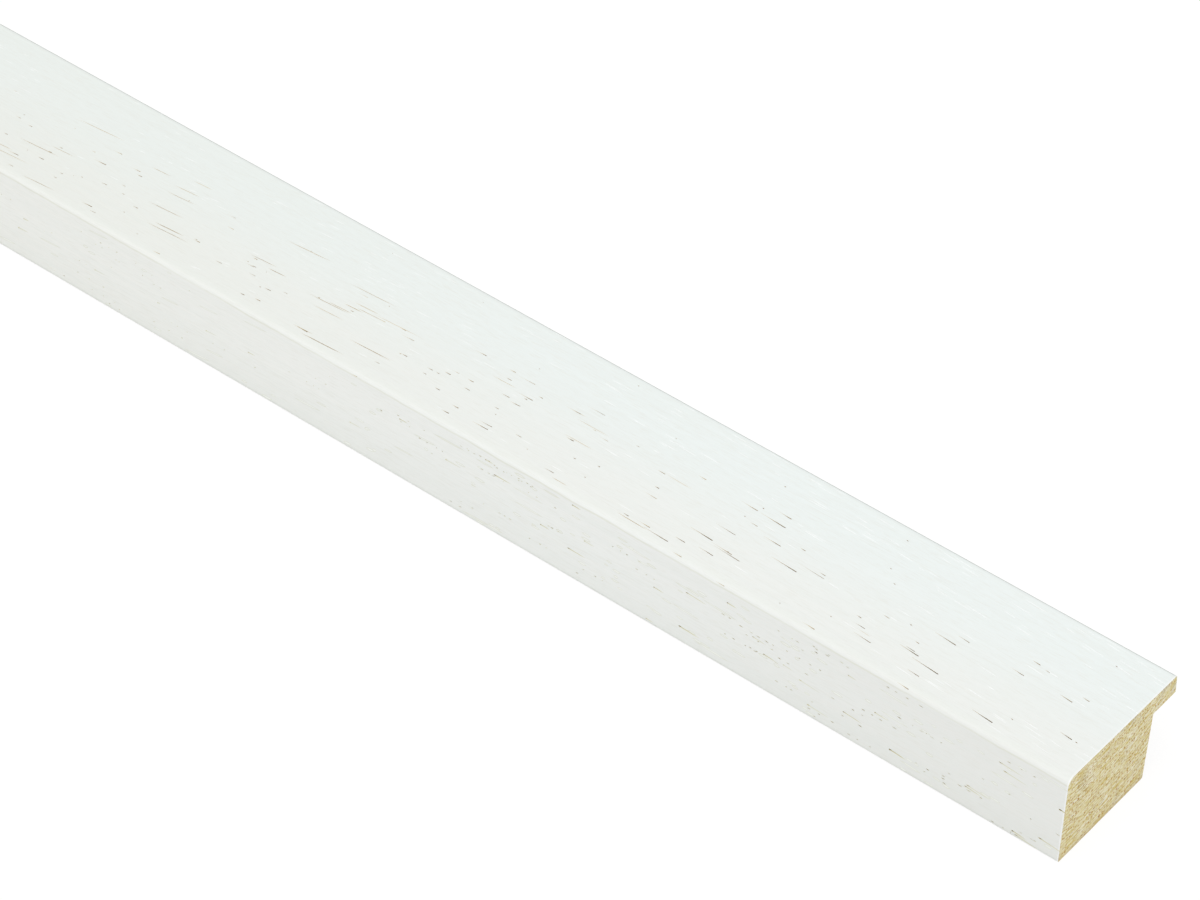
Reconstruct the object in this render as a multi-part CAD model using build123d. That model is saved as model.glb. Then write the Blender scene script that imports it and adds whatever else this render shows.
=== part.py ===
"""A stick of flat picture frame moulding: one strip of wood, planed to section and lacquered.

The stick lies on its back along X. Its outer side faces -Y. Its rabbet, the step that holds the glass and
the picture, faces +Y and opens to the back, under a lip whose edge is the sight edge of the frame.
The origin is on the back's plane, under the middle of the stick.
"""
import os

from build123d import *

# The stick, in millimetres
LENGTH = 1000.0         # cut length

# The section
FACE_WIDTH = 30.0       # outer side to sight edge, across the face
OUTER_HEIGHT = 18.6     # back to face, at the outer side
FACE_FALL = 0.4         # the face is this much lower at its sight edge
SIDE_DRAFT = 0.2        # the outer side leans in this much on its way down to the back

# The rabbet
RABBET_WIDTH = 6.35     # wall to the lip's lower edge, along the ledge
RABBET_DEPTH = 14.3     # back to ledge
WALL_DRAFT = 0.3        # the wall leans this much, so the rabbet widens towards the back
LIP_BEVEL = 0.35        # the sight edge stands out this much more at the ledge than at the face

# The worked edges
FACE_ROUND = 1.5        # radius of the outer edge of the face
SIGHT_EASE = 0.4        # radius of the sight edge, at the face
BACK_EASE = 0.3         # radius of the two long edges of the back

# The section's corners as (Y, Z), with the stick's whole width centred on the origin
LIP_TIP = ((FACE_WIDTH + LIP_BEVEL) / 2, RABBET_DEPTH)
SIGHT_EDGE = (LIP_TIP[0] - LIP_BEVEL, OUTER_HEIGHT - FACE_FALL)
OUTER_EDGE = (SIGHT_EDGE[0] - FACE_WIDTH, OUTER_HEIGHT)
FOOT = (OUTER_EDGE[0] + SIDE_DRAFT, 0.0)
LEDGE_CORNER = (LIP_TIP[0] - RABBET_WIDTH, RABBET_DEPTH)
HEEL = (LEDGE_CORNER[0] - WALL_DRAFT, 0.0)


def corner_at(section, place):
    """The section's corner that lies at a (Y, Z) place."""
    point = Vector(0, *place)
    return min(section.vertices(), key=lambda corner: (Vector(corner) - point).length)


def moulding_section():
    """The stick's section, as the sawn end shows it: a flat bar with a rabbet, its edges rounded."""
    outline = Polyline(FOOT, OUTER_EDGE, SIGHT_EDGE, LIP_TIP, LEDGE_CORNER, HEEL, close=True)
    section = Plane.YZ * make_face(outline)
    for place, radius in (
        (OUTER_EDGE, FACE_ROUND),
        (SIGHT_EDGE, SIGHT_EASE),
        (FOOT, BACK_EASE),
        (HEEL, BACK_EASE),
    ):
        section = fillet(corner_at(section, place), radius)
    return section


def moulding():
    """The stick: its section run along X, half its length each way."""
    return extrude(moulding_section(), amount=LENGTH / 2, dir=(1, 0, 0), both=True)


if __name__ == "__main__":
    os.makedirs("parts", exist_ok=True)
    export_step(moulding(), "parts/moulding.step")
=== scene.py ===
"""Looks of a stick of flat picture frame moulding.

One geometry tree sweeps the section along the stick, a second one lays the cutters of the wood's pores
on it, and a third one cuts them all out. Procedural finishes cover it: white lacquer, open, stained, filled
and veiled pores, bare long grain and sawn end grain.
Places are in the solid's own frame: X along the stick, Y towards the sight edge, Z up from the back.
"""
import math

import bmesh
import bpy
import numpy as np
from mathutils import Matrix, Vector


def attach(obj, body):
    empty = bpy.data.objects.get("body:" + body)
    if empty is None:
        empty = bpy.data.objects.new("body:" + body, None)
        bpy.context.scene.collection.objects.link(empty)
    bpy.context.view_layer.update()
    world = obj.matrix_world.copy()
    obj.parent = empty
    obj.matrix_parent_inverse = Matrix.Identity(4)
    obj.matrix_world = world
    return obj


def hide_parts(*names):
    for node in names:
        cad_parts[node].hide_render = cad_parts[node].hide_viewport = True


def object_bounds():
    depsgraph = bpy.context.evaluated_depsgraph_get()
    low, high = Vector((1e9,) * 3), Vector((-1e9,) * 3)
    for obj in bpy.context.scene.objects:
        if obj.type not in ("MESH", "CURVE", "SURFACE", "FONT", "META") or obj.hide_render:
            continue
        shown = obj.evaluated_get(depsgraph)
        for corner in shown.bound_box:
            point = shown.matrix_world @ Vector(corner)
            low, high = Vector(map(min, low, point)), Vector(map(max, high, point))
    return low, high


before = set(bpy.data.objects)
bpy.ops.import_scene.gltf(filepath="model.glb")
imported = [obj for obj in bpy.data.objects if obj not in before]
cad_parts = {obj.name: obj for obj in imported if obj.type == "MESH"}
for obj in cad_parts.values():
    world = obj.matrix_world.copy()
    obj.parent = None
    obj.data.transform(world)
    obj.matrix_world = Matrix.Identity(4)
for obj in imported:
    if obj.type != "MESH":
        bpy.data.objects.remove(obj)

CAD_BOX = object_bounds()

MM = 0.001
BODY = "root"
NODE = "moulding"

# The section of the stick, as the solid has it
LENGTH = CAD_BOX[1].x - CAD_BOX[0].x
FACE_WIDTH = 30.0 * MM
OUTER_HEIGHT = 18.6 * MM
FACE_FALL = 0.4 * MM
SIDE_DRAFT = 0.2 * MM
RABBET_WIDTH = 6.35 * MM
RABBET_DEPTH = 14.3 * MM
WALL_DRAFT = 0.3 * MM
LIP_BEVEL = 0.35 * MM
FACE_ROUND = 1.5 * MM
SIGHT_EASE = 0.4 * MM
BACK_EASE = 0.3 * MM
LIP_EASE = 0.08 * MM

# The section's corners as (Y, Z)
LIP_TIP = Vector(((FACE_WIDTH + LIP_BEVEL) / 2, RABBET_DEPTH))
SIGHT_EDGE = Vector((LIP_TIP.x - LIP_BEVEL, OUTER_HEIGHT - FACE_FALL))
OUTER_EDGE = Vector((SIGHT_EDGE.x - FACE_WIDTH, OUTER_HEIGHT))
FOOT = Vector((OUTER_EDGE.x + SIDE_DRAFT, 0.0))
LEDGE_CORNER = Vector((LIP_TIP.x - RABBET_WIDTH, RABBET_DEPTH))
HEEL = Vector((LEDGE_CORNER.x - WALL_DRAFT, 0.0))

# How finely the sweep is divided
BAYS = 40
STRIP_WIDTH = 4.0 * MM
ROUND_STEPS = 12
EASE_STEPS = 5

# The photograph's view
PHOTO_WIDTH_PX = 1200
FOCAL_PX = 4485
SENSOR_WIDTH = 36.0
CAMERA_PLACE = Vector((LENGTH / 2 + 225.5 * MM, -432.775 * MM, 515.2 * MM))
CAMERA_AZIMUTH = math.radians(37.24)
CAMERA_ELEVATION = math.radians(42.66)
CAMERA_ROLL = math.radians(2.27)


def shade(red, green, blue):
    """A colour as a screen shows it, from 0 to 255, turned into linear light."""
    full = 255.0
    toe, toe_slope = 0.04045, 12.92
    offset, power = 0.055, 2.4

    def channel(value):
        value /= full
        return value / toe_slope if value <= toe else ((value + offset) / (1 + offset)) ** power

    return (channel(red), channel(green), channel(blue), 1.0)


def outward(start, end):
    """The outward normal of one straight side of the section, walked clockwise."""
    along = (end - start).normalized()
    return Vector((-along.y, along.x))


FACE_NORMAL = outward(OUTER_EDGE, SIGHT_EDGE)
SIDE_NORMAL = outward(FOOT, OUTER_EDGE)
SIGHT_NORMAL = outward(SIGHT_EDGE, LIP_TIP)
ROUND_CENTRE = OUTER_EDGE - (FACE_NORMAL + SIDE_NORMAL) * FACE_ROUND / (1 + FACE_NORMAL.dot(SIDE_NORMAL))


# Node trees


class Field:
    """One output in a node tree. Arithmetic on it adds Math nodes to that tree."""

    def __init__(self, tree, socket):
        self.tree = tree
        self.socket = socket

    def maths(self, operation, *others):
        made = self.tree.nodes.new("ShaderNodeMath")
        made.operation = operation
        for socket, value in zip(made.inputs, (self, *others)):
            put(self.tree, value, socket)
        return Field(self.tree, made.outputs[0])

    def __add__(self, other):
        return self.maths("ADD", other)

    def __sub__(self, other):
        return self.maths("SUBTRACT", other)

    def __mul__(self, other):
        return self.maths("MULTIPLY", other)

    def __truediv__(self, other):
        return self.maths("DIVIDE", other)

    def __rsub__(self, number):
        return self * -1.0 + number

    def above(self, other):
        return self.maths("GREATER_THAN", other)

    def below(self, other):
        return self.maths("LESS_THAN", other)

    def at_least(self, other):
        return self.maths("MAXIMUM", other)

    def at_most(self, other):
        return self.maths("MINIMUM", other)


def put(tree, value, socket):
    """Wires a Field to a socket, or sets the socket to a plain value."""
    if isinstance(value, Field):
        tree.links.new(value.socket, socket)
    else:
        socket.default_value = value


def socket_of(sockets, key):
    """A node's socket by its identifier, or else by its name."""
    for socket in sockets:
        if socket.identifier == key:
            return socket
    return sockets[key]


class Steps:
    """A node tree in the making. Each step adds one node."""

    def __init__(self, tree):
        self.tree = tree

    def node(self, kind, inputs=None, **settings):
        made = self.tree.nodes.new(kind)
        for name, value in settings.items():
            setattr(made, name, value)
        for key, value in (inputs or {}).items():
            put(self.tree, value, socket_of(made.inputs, key))
        return made

    def step(self, kind, inputs=None, output=0, **settings):
        """Adds a node and gives back one of its outputs."""
        made = self.node(kind, inputs, **settings)
        found = made.outputs[output] if isinstance(output, int) else socket_of(made.outputs, output)
        return Field(self.tree, found)

    def vector(self, operation, first, second, output="Vector"):
        """Vector arithmetic on two vectors."""
        made = self.node("ShaderNodeVectorMath", operation=operation)
        put(self.tree, first, made.inputs[0])
        put(self.tree, second, made.inputs[1])
        return Field(self.tree, made.outputs[output])

    def dot(self, first, second):
        return self.vector("DOT_PRODUCT", first, second, "Value")

    def scaled(self, vector, factor):
        """A vector times a number."""
        made = self.node("ShaderNodeVectorMath", {"Scale": factor}, operation="SCALE")
        put(self.tree, vector, made.inputs[0])
        return Field(self.tree, made.outputs["Vector"])

    def parts(self, vector):
        """A vector's X, Y and Z."""
        made = self.node("ShaderNodeSeparateXYZ", {"Vector": vector})
        return [Field(self.tree, socket) for socket in made.outputs]

    def joined(self, x=0.0, y=0.0, z=0.0):
        """A vector from its X, Y and Z."""
        return self.step("ShaderNodeCombineXYZ", {"X": x, "Y": y, "Z": z})

    def cloud(self, place, size, detail=2.0):
        """Smooth noise from 0 to 1 whose spots have about this (X, Y, Z) size."""
        spots = self.vector("DIVIDE", place, size)
        inputs = {"Vector": spots, "Scale": 1.0, "Detail": detail}
        return self.step("ShaderNodeTexNoise", inputs, "Fac")

    def dots(self, place, size, reach):
        """Spots of all strengths in cells of this (X, Y) size. Each fades out at a share of a cell."""
        faintest = 0.3
        inputs = {"Vector": self.vector("DIVIDE", place, (*size, 1.0)), "Scale": 1.0}
        cells = self.node("ShaderNodeTexVoronoi", inputs, voronoi_dimensions="2D")
        strength = self.ramp(self.parts(Field(self.tree, cells.outputs["Color"]))[0], faintest, 1.0)
        return self.ramp(Field(self.tree, cells.outputs["Distance"]), reach, reach / 2) * strength

    def ramp(self, value, low, high, to_low=0.0, to_high=1.0):
        """A value eased from one range to another and kept inside it."""
        inputs = {"Value": value, "From Min": low, "From Max": high, "To Min": to_low, "To Max": to_high}
        return self.step("ShaderNodeMapRange", inputs, "Result", interpolation_type="SMOOTHSTEP")

    def mixed(self, share, first, second):
        """Two colours mixed."""
        inputs = {"Factor_Float": share, "A_Color": first, "B_Color": second}
        return self.step("ShaderNodeMix", inputs, "Result_Color", data_type="RGBA")

    def shades(self, value, stops):
        """A colour from a value, by (place, colour) stops."""
        made = self.node("ShaderNodeValToRGB", {"Fac": value})
        elements = made.color_ramp.elements
        while len(elements) < len(stops):
            elements.new(1.0)
        for element, (place, colour) in zip(elements, stops):
            element.position = place
            element.color = colour
        return Field(self.tree, made.outputs["Color"])

    def group(self, group, inputs):
        """Places a shader group and gives back its outputs by name."""
        made = self.node("ShaderNodeGroup", node_tree=group)
        for key, value in inputs.items():
            put(self.tree, value, made.inputs[key])
        return {socket.name: Field(self.tree, socket) for socket in made.outputs}


def new_group(name, kind, inputs, outputs):
    """A node group with sockets named by kind: its steps, its inputs by name and its output node."""
    tree = bpy.data.node_groups.new(name, kind)
    for way, sockets in (("INPUT", inputs), ("OUTPUT", outputs)):
        for socket, titles in sockets.items():
            for title in titles:
                tree.interface.new_socket(title, in_out=way, socket_type="NodeSocket" + socket)
    entry = tree.nodes.new("NodeGroupInput")
    exit_node = tree.nodes.new("NodeGroupOutput")
    given = {title: Field(tree, entry.outputs[title]) for titles in inputs.values() for title in titles}
    return Steps(tree), given, exit_node


def placed(name, data):
    """A new object in the scene."""
    made = bpy.data.objects.new(name, data)
    bpy.context.scene.collection.objects.link(made)
    return made


def add_tree(piece, tree, values):
    """Puts a geometry tree on a piece, with its named inputs set."""
    modifier = piece.modifiers.new(tree.name, "NODES")
    modifier.node_group = tree
    for item in tree.interface.items_tree:
        if item.in_out == "INPUT" and item.name in values:
            modifier[item.identifier] = values[item.name]


# The stick


def section_outline():
    """The section as a closed loop: each corner with the radius that rounds it, each side in strips."""
    corners = (
        (FOOT, BACK_EASE, EASE_STEPS),
        (HEEL, BACK_EASE, EASE_STEPS),
        (LEDGE_CORNER, LIP_EASE, EASE_STEPS),
        (LIP_TIP, LIP_EASE, EASE_STEPS),
        (SIGHT_EDGE, SIGHT_EASE, EASE_STEPS),
        (OUTER_EDGE, FACE_ROUND, ROUND_STEPS),
    )
    points = []
    for corner, (after, _, _) in zip(corners, corners[1:] + corners[:1]):
        strips = max(1, round((after - corner[0]).length / STRIP_WIDTH))
        points.append(corner)
        points += [(corner[0].lerp(after, i / strips), 0.0, 1) for i in range(1, strips)]
    mesh = bpy.data.meshes.new("section_outline")
    edges = [(i, (i + 1) % len(points)) for i in range(len(points))]
    mesh.from_pydata([(place.x, place.y, 0.0) for place, _, _ in points], edges, [])
    radii = mesh.attributes.new("corner_round", "FLOAT", "POINT")
    radii.data.foreach_set("value", [radius for _, radius, _ in points])
    steps = mesh.attributes.new("corner_steps", "INT", "POINT")
    steps.data.foreach_set("value", [count for _, _, count in points])
    return mesh


def stick_tree():
    """Sweeps the rounded section along the stick and gives each of its sides a finish."""
    steps, given, exit_node = new_group(
        "Moulding stick", "GeometryNodeTree",
        {
            "Geometry": ["Geometry"], "Float": ["Length", "Rabbet Depth"], "Int": ["Bays"],
            "Material": ["Lacquer", "Bare Wood", "End Grain"],
        },
        {"Geometry": ["Geometry"]},
    )
    turned_far = 0.5
    flat_enough = 0.05
    same_place = 0.001 * MM
    outline = steps.step("GeometryNodeMeshToCurve", {"Mesh": given["Geometry"]})
    radius = steps.step("GeometryNodeInputNamedAttribute", {"Name": "corner_round"}, data_type="FLOAT")
    count = steps.step("GeometryNodeInputNamedAttribute", {"Name": "corner_steps"}, data_type="INT")
    rounded = steps.step(
        "GeometryNodeFilletCurve",
        {"Curve": outline, "Count": count, "Radius": radius, "Limit Radius": True},
        mode="POLY",
    )
    half = given["Length"] * 0.5
    path = steps.step(
        "GeometryNodeCurvePrimitiveLine", {"Start": steps.joined(half * -1.0), "End": steps.joined(half)})
    bays = steps.step("GeometryNodeResampleCurve", {"Curve": path, "Count": given["Bays"] + 1.0})
    swept = steps.step(
        "GeometryNodeCurveToMesh", {"Curve": bays, "Profile Curve": rounded, "Fill Caps": True})
    # The sweep lays the outline half a turn round its path, and doubles the points that round nothing
    stick = steps.step("GeometryNodeTransform", {"Geometry": swept, "Rotation": (math.pi, 0.0, 0.0)})
    stick = steps.step("GeometryNodeMergeByDistance", {"Geometry": stick, "Distance": same_place})
    facing = steps.parts(steps.step("GeometryNodeInputNormal"))
    height = steps.parts(steps.step("GeometryNodeInputPosition"))[2]
    under = facing[2].below(-turned_far)
    wall = facing[1].above(turned_far) * height.below(given["Rabbet Depth"])
    sawn = facing[0].maths("ABSOLUTE").above(turned_far)
    rounding = (facing[1] * facing[2]).maths("ABSOLUTE").above(flat_enough)
    stick = steps.step(
        "GeometryNodeSetShadeSmooth", {"Geometry": stick, "Shade Smooth": rounding}, domain="FACE")
    stick = steps.step("GeometryNodeSetMaterial", {"Geometry": stick, "Material": given["Lacquer"]})
    for where, finish in ((under.at_least(wall), "Bare Wood"), (sawn, "End Grain")):
        inputs = {"Geometry": stick, "Selection": where, "Material": given[finish]}
        stick = steps.step("GeometryNodeSetMaterial", inputs)
    stick = steps.step("GeometryNodeTriangulate", {"Mesh": stick, "Selection": sawn})
    put(steps.tree, stick, exit_node.inputs["Geometry"])
    return steps.tree


# The pores


def cutter(name, stations):
    """A closed wedge that cuts one pore, one unit long, wide and deep, and stands proud of its rim at Z 0.

    Each station is (place along X, share of the width, share of the depth).
    """
    proud = 0.4
    verts = []
    for along, width, depth in stations:
        half = width / 2 * (1 + proud)
        ring = ((-half, proud * depth), (0.0, -depth), (half, proud * depth))
        verts += [(along, across, height) for across, height in ring]
    corners = len(ring)
    faces = [tuple(reversed(range(corners))), tuple(range(len(verts) - corners, len(verts)))]
    for start in range(0, len(verts) - corners, corners):
        for i in range(corners):
            j = (i + 1) % corners
            faces.append((start + i, start + j, start + corners + j, start + corners + i))
    mesh = bpy.data.meshes.new(name)
    mesh.from_pydata(verts, [], faces)
    return bpy.data.objects.new(name, mesh)


def chance(steps, given, salt, key, low=0.0, high=1.0):
    """A random value for each key, drawn by the bed's seed and a salt of its own."""
    inputs = {"Min_001": low, "Max_001": high, "ID": key, "Seed": given["Seed"] + float(salt)}
    return steps.step("FunctionNodeRandomValue", inputs, "Value_001", data_type="FLOAT")


def kept_apart(steps, points, distance):
    """Joins points that lie too close. Pores run along X, so they are pressed together along it first."""
    stretch = 8.0
    spot = steps.step("GeometryNodeInputPosition")
    for scale in (1.0 / stretch, stretch):
        pressed = steps.vector("MULTIPLY", spot, (scale, 1.0, 1.0))
        points = steps.step("GeometryNodeSetPosition", {"Geometry": points, "Position": pressed})
        if scale < 1.0:
            points = steps.step("GeometryNodeMergeByDistance", {"Geometry": points, "Distance": distance})
    return points


def pore_points(steps, given, direction, spot, wave):
    """The places of a bed's pores: short lines of them over its strip, in patches and kept apart."""
    along_salt, offset_salt, across_salt = 1, 2, 3
    half = 0.5
    index = steps.step("GeometryNodeInputIndex")
    line = (index / given["Dots per Line"]).maths("FLOOR")
    offset = chance(steps, given, offset_salt, index, -half, half) * given["Line Reach"]
    along = steps.vector(
        "ADD", steps.scaled(given["Along"], chance(steps, given, along_salt, line)),
        steps.scaled(direction, offset))
    across = steps.scaled(given["Across"], chance(steps, given, across_salt, line))
    place = steps.vector("ADD", given["Start"], steps.vector("ADD", along, across))
    points = steps.step(
        "GeometryNodePoints", {"Count": given["Lines"] * given["Dots per Line"], "Position": place})
    patch = steps.cloud(steps.vector("ADD", spot, steps.joined(given["Seed"])), given["Patch Size"])
    bare = (patch + wave * given["Gather"]).below(given["Bare Share"])
    points = steps.step(
        "GeometryNodeDeleteGeometry", {"Geometry": points, "Selection": bare}, domain="POINT")
    return kept_apart(steps, points, given["Apart"])


def pore_turn(steps, given, direction, spot, wave):
    """How each pore lies: on its strip, along it, and turned a little with the grain."""
    wander_size = (40 * MM, 6 * MM, 6 * MM)
    wander_share = 0.7
    middle = 0.5
    lying = steps.step(
        "FunctionNodeAxesToRotation", {"Primary Axis": given["Normal"], "Secondary Axis": direction},
        primary_axis="Z", secondary_axis="X",
    )
    turn = ((steps.cloud(spot, wander_size) - middle) * wander_share - wave) * given["Tilt"]
    swing = steps.step("FunctionNodeAxisAngleToRotation", {"Axis": (0.0, 0.0, 1.0), "Angle": turn})
    return steps.step(
        "FunctionNodeRotateRotation", {"Rotation": lying, "Rotate By": swing}, rotation_space="LOCAL")


def pore_size(steps, given, spot, wave):
    """The length, width and depth of each pore. Its depth changes across the strip."""
    first_salt = 4
    index = steps.step("GeometryNodeInputIndex")
    low = steps.parts(given["Smallest"])
    high = steps.parts(given["Largest"])
    length, width, depth = [
        chance(steps, given, first_salt + i, index, low[i], high[i]) for i in range(len(low))]
    from_start = steps.dot(steps.vector("SUBTRACT", spot, given["Start"]), given["Across"])
    share = from_start / steps.dot(given["Across"], given["Across"])
    dive = wave * given["Dive"] + 1.0
    depth = depth * ((given["Depth at End"] - 1.0) * share + 1.0) * dive
    return steps.joined(length * dive, width, depth)


def pores_tree():
    """Lays the cutters of a bed of pores on the stick, at random over one flat strip."""
    steps, given, exit_node = new_group(
        "Pore bed", "GeometryNodeTree",
        {
            "Geometry": ["Geometry"], "Object": ["Cutter"], "Material": ["Finish"],
            "Int": ["Lines", "Dots per Line", "Seed"],
            "Vector": ["Start", "Along", "Across", "Normal", "Smallest", "Largest", "Patch Size"],
            "Float": ["Line Reach", "Depth at End", "Bare Share", "Gather", "Tilt", "Dive", "Apart"],
        },
        {"Geometry": ["Geometry"]},
    )
    wave_length = 400 * MM
    wave_start = 400 * MM
    direction = steps.vector("NORMALIZE", given["Along"], (0.0, 0.0, 0.0))
    # The grain runs in a slow wave, so neighbours gather, turn and dive together
    spot = steps.step("GeometryNodeInputPosition")
    wave = ((steps.parts(spot)[0] - wave_start) * (2 * math.pi / wave_length)).maths("SINE")
    laid = steps.step("GeometryNodeInstanceOnPoints", {
        "Points": pore_points(steps, given, direction, spot, wave),
        "Instance": steps.step("GeometryNodeObjectInfo", {"Object": given["Cutter"]}, "Geometry"),
        "Rotation": pore_turn(steps, given, direction, spot, wave),
        "Scale": pore_size(steps, given, spot, wave),
    })
    finished = steps.step("GeometryNodeSetMaterial", {"Geometry": laid, "Material": given["Finish"]})
    both = steps.node("GeometryNodeJoinGeometry")
    for geometry in (finished, given["Geometry"]):
        put(steps.tree, geometry, both.inputs["Geometry"])
    put(steps.tree, Field(steps.tree, both.outputs["Geometry"]), exit_node.inputs["Geometry"])
    return steps.tree


def carving_tree():
    """Cuts every pore that lies on the stick into it, so that one plain mesh is left."""
    steps, given, exit_node = new_group(
        "Pore carving", "GeometryNodeTree",
        {"Geometry": ["Geometry"]}, {"Geometry": ["Geometry"]},
    )
    sorted_out = steps.node("GeometryNodeSeparateComponents", {"Geometry": given["Geometry"]})
    stick, cutters = [Field(steps.tree, sorted_out.outputs[name]) for name in ("Mesh", "Instances")]
    carved = steps.step(
        "GeometryNodeMeshBoolean", {"Mesh 1": stick, "Mesh 2": cutters},
        operation="DIFFERENCE", solver="MANIFOLD",
    )
    plain = steps.step("GeometryNodeRealizeInstances", {"Geometry": carved})
    flat = steps.step("GeometryNodeTriangulate", {"Mesh": plain}, quad_method="BEAUTY")
    put(steps.tree, flat, exit_node.inputs["Geometry"])
    return steps.tree


def strip_on_side(start, end, low, high):
    """A strip along the stick, over a share of one straight side of the section."""
    from_end = 0.7 * MM
    across = (end - start) * (high - low)
    first = start + (end - start) * low
    normal = outward(start, end)
    return {
        "Start": (from_end - LENGTH / 2, first.x, first.y),
        "Along": (LENGTH - 2 * from_end, 0.0, 0.0),
        "Across": (0.0, across.x, across.y),
        "Normal": (0.0, normal.x, normal.y),
    }


def strip_on_round(share):
    """A narrow strip along the rounded outer edge, at a share of the way round from the face."""
    half_width = 0.25 * MM
    normal = Matrix.Rotation(share * FACE_NORMAL.angle(SIDE_NORMAL), 2) @ FACE_NORMAL
    middle = ROUND_CENTRE + normal * FACE_ROUND
    across = Vector((normal.y, -normal.x)) * half_width
    return strip_on_side(middle - across, middle + across, 0.0, 1.0)


def strip_on_end(way):
    """The sawn end that faces along X, or against it, over the thick part of the section."""
    margin = 0.5 * MM
    return {
        "Start": (way * LENGTH / 2, FOOT.x + margin, margin),
        "Along": (0.0, HEEL.x - FOOT.x - 2 * margin, 0.0),
        "Across": (0.0, 0.0, SIGHT_EDGE.y - 2 * margin),
        "Normal": (way, 0.0, 0.0),
    }


# How the pores of a bed lie, where the bed itself doesn't say otherwise
SINGLE = {
    "Dots per Line": 1, "Line Reach": 0.0, "Depth at End": 1.0, "Gather": 0.0, "Tilt": math.radians(4.5),
    "Dive": 0.3, "Apart": 0.0,
}
PATCHES = {"Patch Size": (28 * MM, 7 * MM, 7 * MM), "Bare Share": 0.46}
SMALL_PATCHES = {"Patch Size": (12 * MM, 3 * MM, 3 * MM), "Bare Share": 0.44}
NO_PATCHES = {"Patch Size": (1.0, 1.0, 1.0), "Bare Share": 0.0}


def pore_cutters():
    """The shapes that pores are cut with, by name."""
    shapes = {
        "streak": (
            (-1.0, 0.35, 0.03), (-0.72, 0.5, 0.08), (-0.5, 0.65, 0.25), (-0.34, 0.85, 0.55),
            (-0.03, 1.0, 1.0), (0.0, 0.6, 0.7),
        ),
        "dash": (
            (-1.0, 0.3, 0.04), (-0.75, 0.6, 0.2), (-0.5, 0.8, 0.6), (-0.05, 1.0, 1.0), (0.0, 0.6, 0.7),
        ),
        "comma": (
            (0.0, 0.5, 0.5), (0.06, 1.0, 1.0), (0.16, 0.8, 0.16), (0.7, 0.8, 0.1), (1.0, 0.3, 0.02),
        ),
        "groove": ((-0.5, 0.12, 0.1), (-0.22, 1.0, 1.0), (0.22, 1.0, 1.0), (0.5, 0.12, 0.1)),
        "dot": ((-0.5, 0.4, 0.4), (0.0, 1.0, 1.0), (0.5, 0.4, 0.4)),
    }
    return {name: cutter(name + "_cutter", stations) for name, stations in shapes.items()}


def bed(strip, patches, finish, shape, lines, size, own=None):
    """One bed of pores, as the inputs of its tree. Its own values come before those that beds share.

    The size is (least, most) in millimetres, for the length, the width and the depth of its pores.
    """
    least, most = [tuple(value * MM for value in values) for values in zip(*size)]
    return {
        **SINGLE, **patches, **strip, "Finish": finish, "Cutter": shape, "Lines": lines,
        "Smallest": least, "Largest": most, **(own or {}),
    }


def face_beds(cutters, finishes):
    """The beds on the face: open streaks, dashes and grooves, filled pores high and low, and stray dots."""
    opened, filled = finishes["open_pore"], finishes["filled_pore"]

    def strip(low, high):
        return strip_on_side(OUTER_EDGE, SIGHT_EDGE, low, high)

    return [
        bed(strip(0.04, 0.64), PATCHES, opened, cutters["streak"], 420,
            ((1.5, 4.8), (0.09, 0.195), (0.08, 0.9)),
            {"Apart": 0.45 * MM, "Depth at End": 0.3, "Gather": 0.02, "Dive": 0.45}),
        bed(strip(0.04, 0.6), PATCHES, opened, cutters["dash"], 480,
            ((0.5, 1.9), (0.1, 0.18), (0.2, 0.75)),
            {"Apart": 0.35 * MM, "Depth at End": 0.3, "Gather": -0.09}),
        bed(strip(0.04, 0.66), PATCHES, opened, cutters["groove"], 340,
            ((2.5, 8.0), (0.1, 0.15), (0.04, 0.12)),
            {"Apart": 0.45 * MM, "Depth at End": 0.5, "Gather": -0.2, "Dive": -0.5}),
        bed(strip(0.55, 0.985), PATCHES, filled, cutters["groove"], 1050,
            ((1.4, 4.8), (0.07, 0.11), (0.03, 0.05)), {"Bare Share": 0.44, "Gather": -0.01}),
        bed(strip(0.05, 0.55), PATCHES, filled, cutters["groove"], 500,
            ((1.2, 4.0), (0.07, 0.11), (0.03, 0.05))),
        bed(strip(0.05, 0.95), NO_PATCHES, opened, cutters["dot"], 120,
            ((0.2, 0.35), (0.14, 0.2), (0.15, 0.3))),
    ]


def side_beds(cutters, finishes):
    """The beds on the outer side: lines of stained dots, commas, and short and long pores under a veil."""
    stained, veiled = finishes["stained_pore"], finishes["veiled_pore"]
    strip = strip_on_side(FOOT, OUTER_EDGE, 0.02, 0.9)
    return [
        bed(strip, SMALL_PATCHES, stained, cutters["dot"], 420,
            ((0.2, 0.7), (0.1, 0.21), (0.15, 0.65)),
            {"Dots per Line": 6, "Line Reach": 8.0 * MM, "Gather": 0.05, "Apart": 0.15 * MM}),
        bed(strip, SMALL_PATCHES, stained, cutters["comma"], 210,
            ((1.0, 4.2), (0.2, 0.36), (0.05, 0.45)), {"Gather": 0.07}),
        bed(strip, SMALL_PATCHES, veiled, cutters["groove"], 1000,
            ((0.8, 2.4), (0.35, 0.6), (0.012, 0.02)), {"Gather": 0.15, "Dive": 0.0}),
        bed(strip, SMALL_PATCHES, veiled, cutters["groove"], 240,
            ((3.5, 7.0), (0.3, 0.45), (0.01, 0.018)), {"Gather": 0.08, "Dive": 0.0}),
    ]


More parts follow.
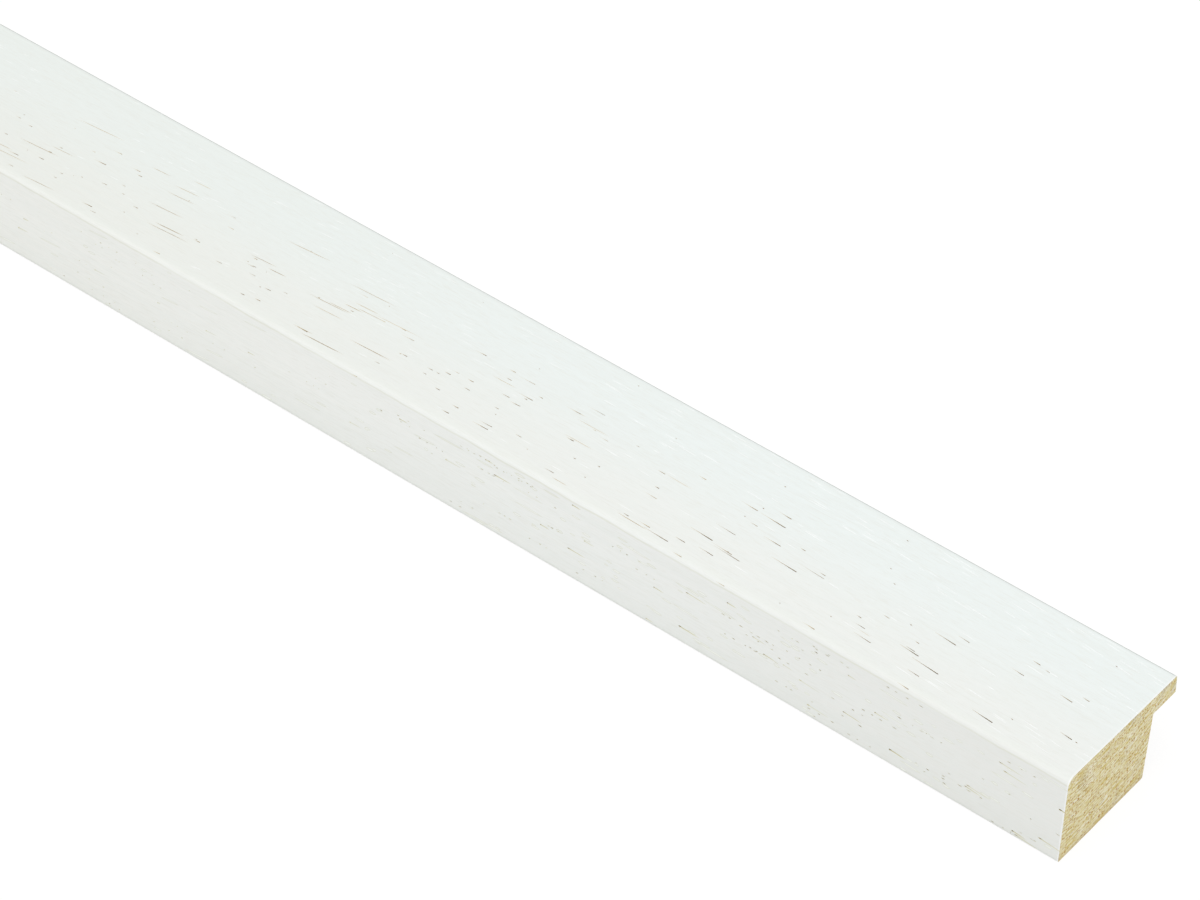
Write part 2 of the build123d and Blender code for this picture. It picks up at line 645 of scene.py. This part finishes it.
def edge_beds(cutters, finishes):
    """The beds of streaks under the sight edge, and at three places round the outer edge."""
    opened = finishes["open_pore"]
    beds = [
        bed(strip_on_side(SIGHT_EDGE, LIP_TIP, 0.15, 0.9), PATCHES, opened, cutters["streak"], 90,
            ((2.0, 5.0), (0.14, 0.22), (0.1, 0.25))),
    ]
    for share in (0.2, 0.5, 0.8):
        beds.append(bed(
            strip_on_round(share), PATCHES, opened, cutters["streak"], 12,
            ((1.5, 4.0), (0.1, 0.16), (0.05, 0.16))))
    return beds


def end_beds(cutters, finishes):
    """The vessels that open on the two sawn ends."""
    return [
        bed(strip_on_end(way), NO_PATCHES, finishes["end_grain"], cutters["dot"], 340,
            ((0.3, 0.6), (0.2, 0.36), (0.12, 0.3)), {"Tilt": 0.0, "Dive": 0.0})
        for way in (-1.0, 1.0)
    ]


def pore_beds(finishes):
    """Every bed of pores, in the order of their seeds."""
    cutters = pore_cutters()
    return [one for beds in (face_beds, side_beds, edge_beds, end_beds) for one in beds(cutters, finishes)]


def mesh_values(items, field, kind, width=1):
    """The values in one field of all items of a mesh, in one row."""
    values = np.empty(width * len(items), dtype=kind)
    items.foreach_get(field, values)
    return values


def read_corners(mesh):
    """Each corner of each triangle: its place, how far its face turns to the sight side, and its finish."""
    corners = 3
    vertex = mesh_values(mesh.loops, "vertex_index", np.int32)
    places = mesh_values(mesh.vertices, "co", np.float32, 3).reshape(-1, 3)[vertex].T
    facing_y = mesh_values(mesh.polygons, "normal", np.float32, 3)[1::3]
    finish = mesh_values(mesh.polygons, "material_index", np.int32)
    names = np.array([material.name for material in mesh.materials])
    return places, np.repeat(facing_y, corners), names[np.repeat(finish, corners)]


def flat_map(mesh):
    """Lays the finish out flat for baking, on a map named OFBake.

    The long sides lie side by side, with X along the map. The walls of the pores share a strip for each
    finish, by depth, and the two sawn ends lie at the top.
    """
    rows = {
        "sides": (0.0, 0.68), "open_pore": (0.69, 0.73), "stained_pore": (0.74, 0.78),
        "filled_pore": (0.785, 0.795), "veiled_pore": (0.8, 0.81), "end_grain": (0.82, 1.0),
    }
    deepest = {
        "open_pore": 1.1 * MM, "stained_pore": 0.7 * MM, "filled_pore": 0.07 * MM, "veiled_pore": 0.03 * MM,
    }
    gap = 1.0 * MM
    turned_far = 0.5
    end_width, second_end = 0.48, 0.5
    (x, y, z), facing_y, names = read_corners(mesh)

    def behind(corner, normal):
        return corner.dot(normal) - y * normal.x - z * normal.y

    face = behind(OUTER_EDGE, FACE_NORMAL)
    side = behind(OUTER_EDGE, SIDE_NORMAL)
    sight = behind(SIGHT_EDGE, SIGHT_NORMAL)
    # Where on the map the face, sight edge, ledge, wall and back start, and where the back ends
    starts = np.cumsum([
        OUTER_HEIGHT + gap, FACE_WIDTH + gap, OUTER_HEIGHT - RABBET_DEPTH + gap, RABBET_WIDTH + gap,
        RABBET_DEPTH + gap, FACE_WIDTH,
    ])
    bare = names == "bare_wood"
    towards_sight = facing_y > turned_far
    under_lip = y > LEDGE_CORNER.x + gap
    across = np.select(
        [~bare & towards_sight, ~bare, towards_sight & ~under_lip, z > RABBET_DEPTH / 2],
        [starts[1] + face, starts[0] + side - face, starts[3] + RABBET_DEPTH - z, starts[2] + sight],
        starts[4] + y - FOOT.x,
    )
    along = x / LENGTH + 0.5
    share = across / starts[5]
    past_round = np.hypot(np.maximum(FACE_ROUND - face, 0.0), np.maximum(FACE_ROUND - side, 0.0))
    depth = np.minimum(FACE_ROUND - past_round, sight)
    for name, deep in deepest.items():
        share = np.where(names == name, np.clip(depth / deep, 0.0, 1.0), share)
    sawn = names == "end_grain"
    over_end = (y - CAD_BOX[0].y) / FACE_WIDTH * end_width + np.where(x > 0, second_end, 0.0)
    along = np.where(sawn, over_end, along)
    share = np.where(sawn, z / OUTER_HEIGHT, share)
    low, high = [
        np.select([names == name for name in rows], [row[i] for row in rows.values()], rows["sides"][i])
        for i in (0, 1)
    ]
    layout = mesh.uv_layers.new(name="OFBake")
    layout.data.foreach_set("uv", np.stack([along, low + share * (high - low)], 1).ravel())


def drop_fins(mesh):
    """Takes out faces that lie back to back on the same corners, and joins the doubled edges under them.

    Carving can leave such fins where pores meet.
    """
    shell = bmesh.new()
    shell.from_mesh(mesh)
    seen = {}
    fins = []
    for face in shell.faces:
        corners = frozenset(face.verts)
        if corners in seen:
            fins += [face, seen[corners]]
        seen[corners] = face
    bmesh.ops.delete(shell, geom=fins, context="FACES")
    shell.to_mesh(mesh)
    shell.free()
    mesh.validate()


def moulding_stick(finishes):
    """The stick with its pores, as one plain mesh."""
    outline = placed("section_outline", section_outline())
    add_tree(outline, stick_tree(), {
        "Length": LENGTH, "Bays": BAYS, "Rabbet Depth": RABBET_DEPTH,
        "Lacquer": finishes["white_lacquer"], "Bare Wood": finishes["bare_wood"],
        "End Grain": finishes["end_grain"],
    })
    pores = pores_tree()
    for seed, inputs in enumerate(pore_beds(finishes)):
        add_tree(outline, pores, {**inputs, "Seed": seed})
    add_tree(outline, carving_tree(), {})
    graph = bpy.context.evaluated_depsgraph_get()
    mesh = bpy.data.meshes.new_from_object(outline.evaluated_get(graph))
    mesh.name = "moulding_stick"
    drop_fins(mesh)
    flat_map(mesh)
    bpy.data.objects.remove(outline)
    return placed("moulding_stick", mesh)


# The finishes


def under_lacquer_group():
    """How deep a place lies under the lacquered sides of the section, in millimetres."""
    steps, given, exit_node = new_group(
        "Under the lacquer", "ShaderNodeTree",
        {"Vector": ["Vector"]}, {"Float": ["Depth", "Under Face", "From Outer Side", "From Sight Edge"]},
    )

    def behind(corner, normal):
        level = corner.dot(normal) / MM
        return steps.dot(given["Vector"], (0.0, -normal.x, -normal.y)) + level

    radius = FACE_ROUND / MM
    face = behind(OUTER_EDGE, FACE_NORMAL)
    side = behind(OUTER_EDGE, SIDE_NORMAL)
    sight = behind(SIGHT_EDGE, SIGHT_NORMAL)
    over_face = (radius - face).at_least(0.0)
    over_side = (radius - side).at_least(0.0)
    reach = (over_face * over_face + over_side * over_side).maths("SQRT")
    cornered = radius - reach
    # The round counts inside its own square, the nearer flat beside it, and the sight edge near itself
    depth = cornered.at_most(sight)
    for name, value in (
        ("Depth", depth), ("Under Face", face), ("From Outer Side", side), ("From Sight Edge", sight),
    ):
        put(steps.tree, value, exit_node.inputs[name])
    return steps.tree


def long_grain_group():
    """Streaks that run along the stick: broad bands, and fine fibres between them."""
    steps, given, exit_node = new_group(
        "Long grain", "ShaderNodeTree",
        {"Vector": ["Vector"], "Float": ["Band Width", "Fibre Width", "Fibre Stretch"]},
        {"Float": ["Bands", "Fibres"]},
    )
    band_stretch, band_detail = 60.0, 3.0
    fibre_detail = 2.0
    contrast = (0.3, 0.7)
    for name, width, stretch, detail in (
        ("Bands", given["Band Width"], band_stretch, band_detail),
        ("Fibres", given["Fibre Width"], given["Fibre Stretch"], fibre_detail),
    ):
        size = steps.joined(width * stretch, width, width)
        streaks = steps.ramp(steps.cloud(given["Vector"], size, detail), *contrast)
        put(steps.tree, streaks, exit_node.inputs[name])
    return steps.tree


def new_material(name, under):
    """A material: itself, its steps, its shader, the place in millimetres and how deep that lies."""
    material = bpy.data.materials.new(name)
    material.use_nodes = True
    steps = Steps(material.node_tree)
    shader = material.node_tree.nodes["Principled BSDF"]
    place = steps.scaled(steps.step("ShaderNodeTexCoord", output="Object"), 1.0 / MM)
    return material, steps, shader, place, steps.group(under, {"Vector": place})


def cover(steps, shader, colour, roughness, height, distance):
    """Gives a shader its colour, roughness and relief: a height from 0 to 1, times a distance in mm."""
    relief = {"Height": height, "Distance": distance * MM, "Strength": 1.0}
    put(steps.tree, colour, shader.inputs["Base Color"])
    put(steps.tree, roughness, shader.inputs["Roughness"])
    put(steps.tree, steps.step("ShaderNodeBump", relief, "Normal"), shader.inputs["Normal"])


def inside_ends(along):
    """How far a place lies inside the nearer sawn end, in millimetres."""
    return LENGTH / 2 / MM - along.maths("ABSOLUTE")


def lacquer_white_and_painted_light(steps, along, from_side, round_edge):
    """The white, cooler towards the sight edge, with painted light and shade along the stick: the face
    lighter towards the near end, the side darker over its last stretch there.
    """
    cool_near, cool_far = shade(240, 246, 244), shade(237, 242, 238)
    warm_near, warm_far = shade(241, 243, 239), shade(237, 239, 233)
    side_end_shade, side_near, side_far = shade(237, 238, 234), shade(243, 245, 242), shade(243, 244, 239)
    painted_light_reach = (255.0, 440.0)
    side_end_shade_reach = (390.0, 505.0)
    across_face = (2.0, 24.0)
    over_round = (-0.8, 0.4)
    # Painted light and shade along X: the face lighter towards the near end and the side darker there, as
    # the light falls along the stick
    painted_light_share = steps.ramp(along, *painted_light_reach)
    warm = steps.mixed(painted_light_share, warm_far, warm_near)
    cool = steps.mixed(painted_light_share, cool_far, cool_near)
    face = steps.mixed(steps.ramp(from_side, *across_face), warm, cool)
    side = steps.mixed(painted_light_share, side_far, side_near)
    side = steps.mixed(steps.ramp(along, *side_end_shade_reach), side, side_end_shade)
    return steps.mixed(steps.ramp(round_edge, *over_round), side, face)


def edge_wear_and_painted_shade(steps, colour, place, spots, round_edge):
    """Paints shade on the crest of the round, at the sight edge and low on the side towards the foot, and
    wears a patchy line where the round meets the side.
    """
    darker_band, darker_band_share = shade(226, 229, 223), 0.45
    crest_at, crest_width = 0.65, (1.2, 0.0)
    worn, worn_share = shade(220, 220, 206), 0.6
    meeting_at, meeting_width = -1.24, (0.3, 0.05)
    patch_size, patch_range = (22.0, 3.0, 3.0), (0.3, 0.6, 0.4, 1.0)
    sight_edge_shade, sight_shade_reach = shade(181, 187, 182), (((0.95, 0.0), 0.2), ((0.45, 0.1), 0.8))
    near_face = (1.5, 0.4)
    painted_foot_shade, foot_shade_reach = shade(204, 207, 201), (((8.0, 18.6), 0.12), ((17.6, 18.4), 0.3))

    def two_ramps(value, reach):
        (broad, broad_share), (narrow, narrow_share) = reach
        return steps.ramp(value, *broad) * broad_share + steps.ramp(value, *narrow) * narrow_share

    # Painted shade on the crest of the round, toning its highlight down
    crest = steps.ramp((round_edge - crest_at).maths("ABSOLUTE"), *crest_width)
    colour = steps.mixed(crest * darker_band_share, colour, darker_band)
    meeting = steps.ramp((round_edge - meeting_at).maths("ABSOLUTE"), *meeting_width)
    patches = steps.ramp(steps.cloud(place, patch_size), *patch_range)
    colour = steps.mixed(meeting * patches * worn_share, colour, worn)
    # Painted shade along the sight edge, where its ease turns away from the light
    sight = two_ramps(spots["From Sight Edge"], sight_shade_reach) * steps.ramp(spots["Under Face"], *near_face)
    colour = steps.mixed(sight, colour, sight_edge_shade)
    # Painted shade low on the side, darker towards the foot, where the floor's bounce is hidden
    return steps.mixed(two_ramps(spots["Under Face"], foot_shade_reach), colour, painted_foot_shade)


def white_lacquer(under, grain):
    """Thin matt white lacquer: faintly grained, worn where the round meets the side, with painted light and
    shade along the stick and its edges, and a painted highlight along each sawn end.
    """
    streak, streak_share = shade(232, 237, 233), 0.25
    fibre, fibre_share, fibre_edge = shade(230, 230, 222), 0.35, (0.6, 1.0)
    rim, end_highlight_share, end_highlight_reach = shade(253, 254, 253), 0.7, (0.35, 0.1)
    wander_size, wander_detail, wander_reach = (7.0, 1.0, 1.0), 3.0, 0.7
    middle = 0.5
    plain_roughness, fibre_roughness = 0.46, 0.08
    fibre_height, band_height, bump_distance = 0.6, 0.4, 0.012
    material, steps, shader, place, spots = new_material("white_lacquer", under)
    streaks = steps.group(
        grain, {"Vector": place, "Band Width": 0.9, "Fibre Width": 0.14, "Fibre Stretch": 20.0})
    along = steps.parts(place)[0]
    # Runs round the outer edge, from plus its radius on the face to minus its radius on the side
    wander = steps.cloud(steps.joined(along), wander_size, wander_detail) - middle
    round_edge = spots["From Outer Side"] - spots["Under Face"] + wander * wander_reach
    colour = lacquer_white_and_painted_light(steps, along, spots["From Outer Side"], round_edge)
    colour = steps.mixed(streaks["Bands"] * streak_share, colour, streak)
    colour = steps.mixed(steps.ramp(streaks["Fibres"], *fibre_edge) * fibre_share, colour, fibre)
    colour = edge_wear_and_painted_shade(steps, colour, place, spots, round_edge)
    # A painted highlight: a pale line on the lacquer along each sawn end
    colour = steps.mixed(steps.ramp(inside_ends(along), *end_highlight_reach) * end_highlight_share, colour, rim)
    roughness = streaks["Fibres"] * fibre_roughness + plain_roughness
    height = streaks["Fibres"] * fibre_height + streaks["Bands"] * band_height
    cover(steps, shader, colour, roughness, height, bump_distance)
    return material


# The finishes inside pores: how deep the last stop lies in millimetres, the stops from the lip on, the tint
PORE_LOOKS = {
    # Not closed by the lacquer, on the face: tan at its lip, darker with depth to dark brown at its bottom,
    # the wood's brown deepened by painted shade
    "open_pore": (0.32, (
        (0.0, shade(234, 235, 228)), (0.04, shade(224, 218, 200)), (0.15, shade(200, 184, 144)),
        (0.35, shade(134, 94, 28)), (0.7, shade(90, 58, 10)), (1.0, shade(54, 32, 4)),
    ), shade(150, 112, 66)),
    # Open on the side, where the lacquer ran in and yellowed: olive at its lip, darker with depth below,
    # partly painted shade
    "stained_pore": (0.3, (
        (0.0, shade(230, 232, 222)), (0.05, shade(220, 218, 192)), (0.2, shade(198, 190, 142)),
        (0.5, shade(112, 96, 52)), (1.0, shade(52, 44, 26)),
    ), shade(140, 116, 58)),
    # Filled by the lacquer, which lies thick in it: whiter than the rest, partly a painted highlight that
    # makes these grooves read as bright lines
    "filled_pore": (0.05, (
        (0.0, shade(239, 243, 240)), (0.25, shade(247, 250, 248)), (0.6, shade(255, 255, 255)),
    ), shade(250, 253, 252)),
    # Only bridged by the lacquer: a thin olive rim round a pale spot
    "veiled_pore": (0.02, (
        (0.0, shade(232, 234, 227)), (0.25, shade(225, 226, 212)), (0.5, shade(243, 245, 240)),
        (1.0, shade(250, 252, 249)),
    ), shade(240, 243, 238)),
}


def pore_finish(name, under, grain, deepest, stops, tint):
    """A finish that changes from a pore's lip to its bottom, with a tint that comes and goes along X."""
    tint_share, tint_size, tint_edge, tint_depth = 0.35, (3.0, 1.0, 1.0), (0.4, 0.65), (0.1, 0.5)
    roughness_range = (0.0, 0.3, 0.5, 0.8)
    bump_distance = 0.01
    material, steps, shader, place, spots = new_material(name, under)
    streaks = steps.group(
        grain, {"Vector": place, "Band Width": 0.6, "Fibre Width": 0.1, "Fibre Stretch": 70.0})
    depth = spots["Depth"] / deepest
    along = steps.joined(steps.parts(place)[0])
    tinted = steps.ramp(steps.cloud(along, tint_size), *tint_edge) * steps.ramp(depth, *tint_depth)
    # The stops darken with depth: the pores' own colour, and in the open and stained pores painted shade as
    # well
    colour = steps.mixed(tinted * tint_share, steps.shades(depth, stops), tint)
    cover(steps, shader, colour, steps.ramp(depth, *roughness_range), streaks["Fibres"], bump_distance)
    return material


def bare_wood(under, grain):
    """Planed long grain on the back and in the rabbet, with a mist of lacquer along the sprayed edges."""
    pale = shade(226, 214, 178)
    dark = shade(198, 178, 130)
    fibre, fibre_share, fibre_edge = shade(176, 150, 98), 0.55, (0.55, 0.95)
    vessel, vessel_share, vessel_cell, vessel_reach = shade(142, 108, 62), 0.8, (9.0, 0.4), 0.3
    mist, mist_share, mist_edge = shade(236, 240, 236), 0.8, (0.0, -1.4)
    ragged_size, ragged_detail, ragged_reach = (7.0, 1.5, 1.5), 4.0, 3.2
    ripple_pitch, ripple_height = 1.6, 0.25
    plain_roughness, fibre_roughness = 0.62, 0.15
    bump_distance = 0.03
    material, steps, shader, place, spots = new_material("bare_wood", under)
    streaks = steps.group(
        grain, {"Vector": place, "Band Width": 1.4, "Fibre Width": 0.16, "Fibre Stretch": 70.0})
    colour = steps.mixed(streaks["Bands"], pale, dark)
    colour = steps.mixed(steps.ramp(streaks["Fibres"], *fibre_edge) * fibre_share, colour, fibre)
    # One of Y and Z stands still on each of these sides, so their sum runs across all of them
    along, across, height = steps.parts(place)
    vessels = steps.dots(steps.joined(along, across + height), vessel_cell, vessel_reach)
    colour = steps.mixed(vessels * vessel_share, colour, vessel)
    near = spots["From Outer Side"].at_most(spots["From Sight Edge"])
    ragged = steps.cloud(place, ragged_size, ragged_detail) * ragged_reach
    sprayed = steps.ramp(near - ragged, *mist_edge)
    colour = steps.mixed(sprayed * mist_share, colour, mist)
    roughness = streaks["Fibres"] * fibre_roughness + plain_roughness
    ripples = (along * (2 * math.pi / ripple_pitch)).maths("SINE") * ripple_height
    cover(steps, shader, colour, roughness, streaks["Fibres"] + ripples - vessels, bump_distance)
    return material


def ring_places(steps, place):
    """Places on a sawn end as growth rings run: along a ring, out from the pith, and along the stick."""
    pith = (-10.0, 69.0)
    along, across, height = steps.parts(place)
    sideways = across - pith[0]
    down = pith[1] - height
    radius = (sideways * sideways + down * down).maths("SQRT")
    arc = sideways.maths("ARCTAN2", down) * pith[1]
    return steps.joined(arc, radius, along)


def end_marks(steps, colour, place, fine, depth):
    """Marks on a sawn end: darker along its foot, torn at one spot, smudged, and filmed along its edge."""
    darker_band, darker_band_share, darker_band_reach = shade(204, 180, 116), 0.5, (1.4, 0.0)
    torn, torn_share, torn_grain = shade(158, 134, 96), 0.5, (0.7, 0.2)
    torn_spot, torn_squash, torn_reach = (0.0, -10.0, 14.2), (0.0, 1.0, 0.8), (3.4, 0.4)
    stain, stain_share, stain_depth = shade(196, 192, 176), 0.5, (2.2, 0.2)
    stain_size, stain_edge = (9.0, 2.6, 2.6), (0.52, 0.68)
    film, film_edge = shade(226, 234, 236), (0.03, -0.03)
    ragged_size, ragged_detail, ragged_reach = (0.5, 0.5, 0.5), 3.0, 0.1
    height = steps.parts(place)[2]
    colour = steps.mixed(steps.ramp(height, *darker_band_reach) * darker_band_share, colour, darker_band)
    away = steps.vector("MULTIPLY", steps.vector("SUBTRACT", place, torn_spot), torn_squash)
    near = steps.ramp(steps.vector("DISTANCE", away, (0.0, 0.0, 0.0), "Value"), *torn_reach)
    colour = steps.mixed(near * steps.ramp(fine, *torn_grain) * torn_share, colour, torn)
    smudge = steps.ramp(steps.cloud(place, stain_size), *stain_edge) * steps.ramp(depth, *stain_depth)
    colour = steps.mixed(smudge * stain_share, colour, stain)
    ragged = steps.cloud(place, ragged_size, ragged_detail) * ragged_reach
    return steps.mixed(steps.ramp(depth - ragged, *film_edge), colour, film)


def end_grain(under):
    """The sawn end: growth rings cut across, and vessels as dark flecks and open pits."""
    stops = ((0.1, shade(208, 184, 88)), (0.5, shade(235, 225, 176)), (0.9, shade(251, 248, 228)))
    line_share, line_size, line_edge = 0.6, (4.5, 0.36, 4.0), (0.32, 0.68)
    speck_share, speck_size, speck_edge = 0.4, (0.7, 0.32, 2.0), (0.3, 0.7)
    ring, ring_share, ring_edge = shade(218, 200, 142), 0.3, (0.4, 0.7)
    ring_size, ring_detail = (9.0, 1.6, 40.0), 3.0
    vessel, vessel_cell, vessel_reach = shade(184, 128, 32), (0.8, 0.5), 0.36
    pit, pit_depth = shade(150, 84, 2), (0.01, 0.14)
    plain_roughness, vessel_roughness = 0.72, 0.1
    bump_distance = 0.03
    material, steps, shader, place, spots = new_material("end_grain", under)
    rings = ring_places(steps, place)
    lines = steps.ramp(steps.cloud(rings, line_size), *line_edge)
    specks = steps.ramp(steps.cloud(rings, speck_size), *speck_edge)
    fine = lines * line_share + specks * speck_share
    bands = steps.ramp(steps.cloud(rings, ring_size, ring_detail), *ring_edge)
    colour = steps.mixed(bands * ring_share, steps.shades(fine, stops), ring)
    vessels = steps.dots(rings, vessel_cell, vessel_reach)
    colour = steps.mixed(vessels, colour, vessel)
    colour = end_marks(steps, colour, place, fine, spots["Depth"])
    # Darker inside the open pits, by depth below the sawn face: the vessels' own brown, deepened with
    # painted shade
    below = inside_ends(steps.parts(place)[0])
    colour = steps.mixed(steps.ramp(below, *pit_depth), colour, pit)
    roughness = vessels * vessel_roughness + plain_roughness
    cover(steps, shader, colour, roughness, fine - vessels, bump_distance)
    return material


def finishes_of_stick():
    """All the stick's materials by name."""
    under = under_lacquer_group()
    grain = long_grain_group()
    made = [white_lacquer(under, grain), bare_wood(under, grain), end_grain(under)]
    made += [pore_finish(name, under, grain, *look) for name, look in PORE_LOOKS.items()]
    return {material.name: material for material in made}


# The studio


def shown_to_camera(steps):
    """One where the camera, a reflection or clear glass looks, and else nought."""
    path = steps.node("ShaderNodeLightPath")
    seen = [Field(steps.tree, path.outputs[name]) for name in (
        "Is Camera Ray", "Is Glossy Ray", "Is Transmission Ray")]
    return seen[0].at_least(seen[1]).at_least(seen[2])


def studio_world():
    """A white tent of soft light, stronger from the front, and pure white where the camera sees it."""
    even = 0.775
    from_front = 0.16
    world = bpy.data.worlds.new("tent")
    world.use_nodes = True
    steps = Steps(world.node_tree)
    background = world.node_tree.nodes["Background"]
    background.inputs["Color"].default_value = (1.0, 1.0, 1.0, 1.0)
    direction = steps.parts(steps.step("ShaderNodeTexCoord", output="Generated"))
    light = direction[1] * -from_front + even
    shown = shown_to_camera(steps)
    put(steps.tree, light * (1.0 - shown) + shown, background.inputs["Strength"])
    bpy.context.scene.world = world


def floor_finish():
    """White paper: it bounces light like paper, and looks white but for a faint shadow."""
    bounce = (0.82, 0.82, 0.82, 1.0)
    shadow_part = (0.18, 0.18, 0.18, 1.0)
    glow = 0.855
    material = bpy.data.materials.new("white_paper")
    material.use_nodes = True
    tree = material.node_tree
    tree.nodes.remove(tree.nodes["Principled BSDF"])
    steps = Steps(tree)
    paper = steps.step("ShaderNodeBsdfDiffuse", {"Color": bounce})
    faint = steps.step("ShaderNodeBsdfDiffuse", {"Color": shadow_part})
    light = steps.step("ShaderNodeEmission", {"Strength": glow})
    lit = steps.node("ShaderNodeAddShader")
    put(tree, faint, lit.inputs[0])
    put(tree, light, lit.inputs[1])
    both = steps.node("ShaderNodeMixShader", {"Fac": shown_to_camera(steps)})
    put(tree, paper, both.inputs[1])
    put(tree, Field(tree, lit.outputs[0]), both.inputs[2])
    tree.links.new(both.outputs[0], tree.nodes["Material Output"].inputs["Surface"])
    return material


def floor():
    """A wide sheet of white paper under the stick."""
    half = 20.0
    drop = 0.05 * MM
    mesh = bpy.data.meshes.new("paper_floor")
    corners = [(-half, -half, -drop), (half, -half, -drop), (half, half, -drop), (-half, half, -drop)]
    mesh.from_pydata(corners, [], [(0, 1, 2, 3)])
    mesh.materials.append(floor_finish())
    sheet = placed("paper_floor", mesh)


def pointing(azimuth, elevation):
    """The direction at this azimuth, counted from -Y towards +X, and this elevation."""
    return Vector((
        math.sin(azimuth) * math.cos(elevation),
        -math.cos(azimuth) * math.cos(elevation),
        math.sin(elevation),
    ))


def soft_key():
    """One large soft lamp in front of the outer side and above it."""
    distance = 2.2
    height_angle = math.radians(72)
    side_angle = math.radians(20)
    target = Vector((LENGTH / 2, 0.0, 0.0))
    away = pointing(side_angle, height_angle)
    lamp = bpy.data.lights.new("soft_key", "AREA")
    lamp.size = 1.6
    lamp.energy = 13.0
    key = placed("soft_key", lamp)
    key.location = target + away * distance
    key.rotation_mode = "QUATERNION"
    key.rotation_quaternion = (-away).to_track_quat("-Z", "Y")


def camera():
    """The photograph's own view."""
    back = pointing(CAMERA_AZIMUTH, CAMERA_ELEVATION)
    level = Vector((math.cos(CAMERA_AZIMUTH), math.sin(CAMERA_AZIMUTH), 0.0))
    upright = back.cross(level)
    right = level * math.cos(CAMERA_ROLL) + upright * math.sin(CAMERA_ROLL)
    up = upright * math.cos(CAMERA_ROLL) - level * math.sin(CAMERA_ROLL)
    lens = bpy.data.cameras.new("photo_view")
    lens.sensor_width = SENSOR_WIDTH
    lens.lens = FOCAL_PX / PHOTO_WIDTH_PX * SENSOR_WIDTH
    view = placed("photo_view", lens)
    turn = Matrix((right, up, back)).transposed().to_4x4()
    view.matrix_world = Matrix.Translation(CAMERA_PLACE) @ turn
    bpy.context.scene.camera = view


def main():
    stick = moulding_stick(finishes_of_stick())
    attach(stick, BODY)
    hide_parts(NODE)
    floor()
    studio_world()
    soft_key()
    camera()
    bpy.context.scene.view_settings.view_transform = "Standard"


main()
